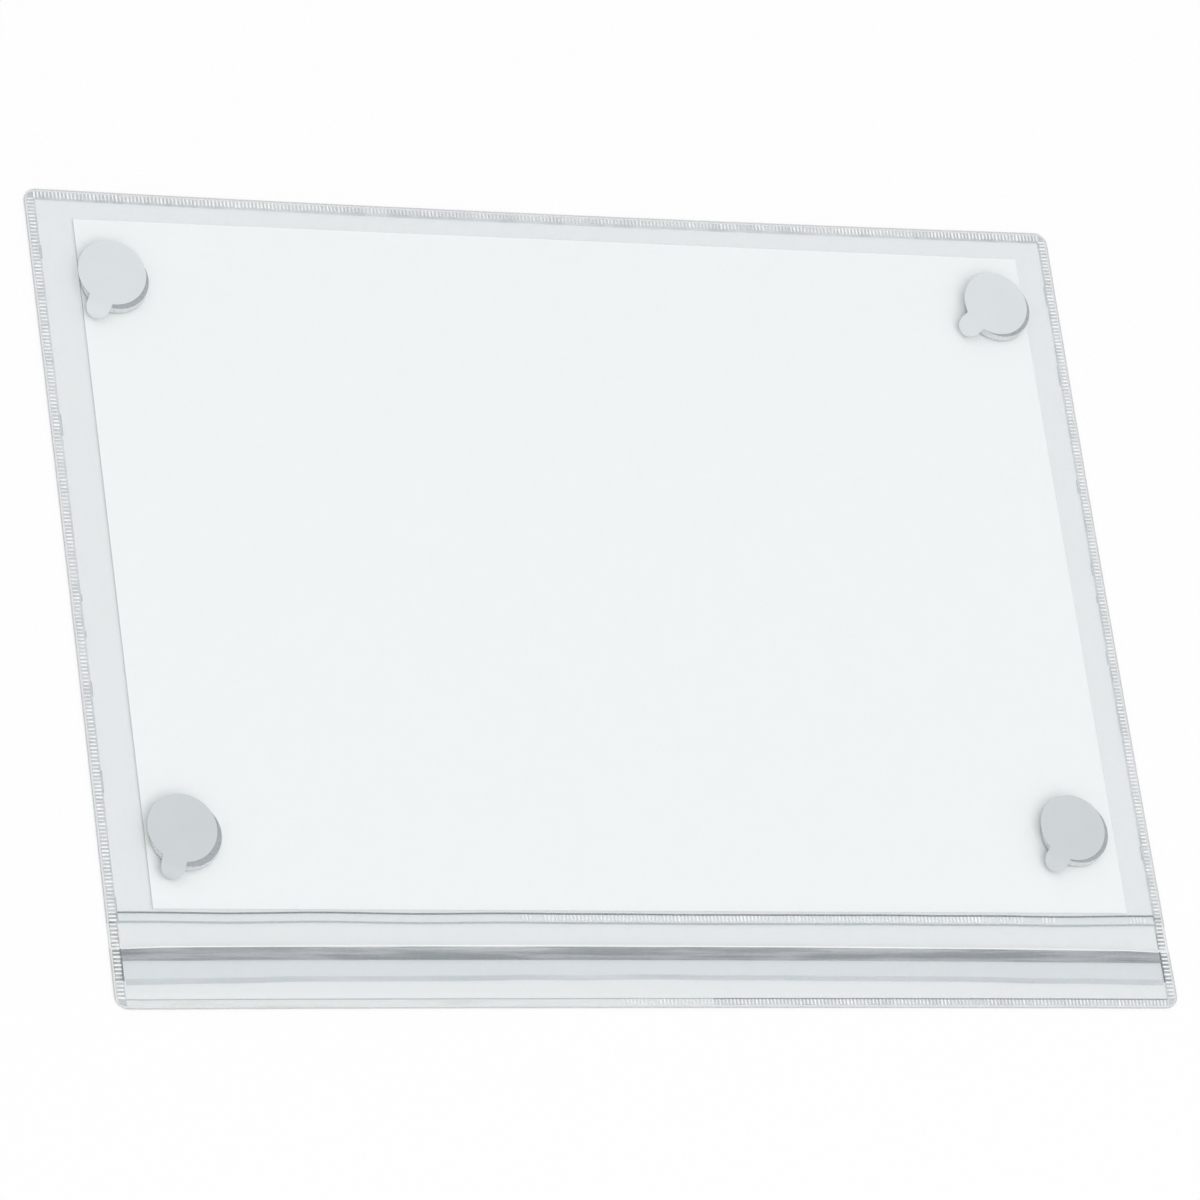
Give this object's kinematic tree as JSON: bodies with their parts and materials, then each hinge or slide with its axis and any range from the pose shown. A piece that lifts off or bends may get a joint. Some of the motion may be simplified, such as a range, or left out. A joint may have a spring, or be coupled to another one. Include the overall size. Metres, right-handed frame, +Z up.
{
  "type": "self-adhesive display pocket",
  "caption": "Clear landscape film pocket holding a white paper sheet, with ribbed welded edges, a tuck-in closing flap, and round foam adhesive pads under liners with pull tabs.",
  "frame": {"origin": "centre of the outline on the surface that the pocket lies on, front film down", "axes": "+X along the width, +Y from the closing edge to the welded top edge, +Z up out of the back, where the adhesive pads are"},
  "size_m": [0.3224, 0.2486, 0.0038],
  "materials": {
    "clear_film": "clear glossy film with ribbed heat welds",
    "paper": "uncoated white office paper",
    "pad_foam": "fine closed-cell foam with adhesive faces",
    "release_liner": "smooth satin grey-white liner"
  },
  "bodies": {
    "root": {"front_film": "clear_film", "back_film": "clear_film", "closure_flap": "clear_film", "bottom_strip": "clear_film", "insert_sheet": "paper", "foam_pad_top_left": "pad_foam", "foam_pad_top_right": "pad_foam", "foam_pad_bottom_left": "pad_foam", "foam_pad_bottom_right": "pad_foam", "liner_top_left": "release_liner", "liner_top_right": "release_liner", "liner_bottom_left": "release_liner", "liner_bottom_right": "release_liner"}
  },
  "joints": []
}
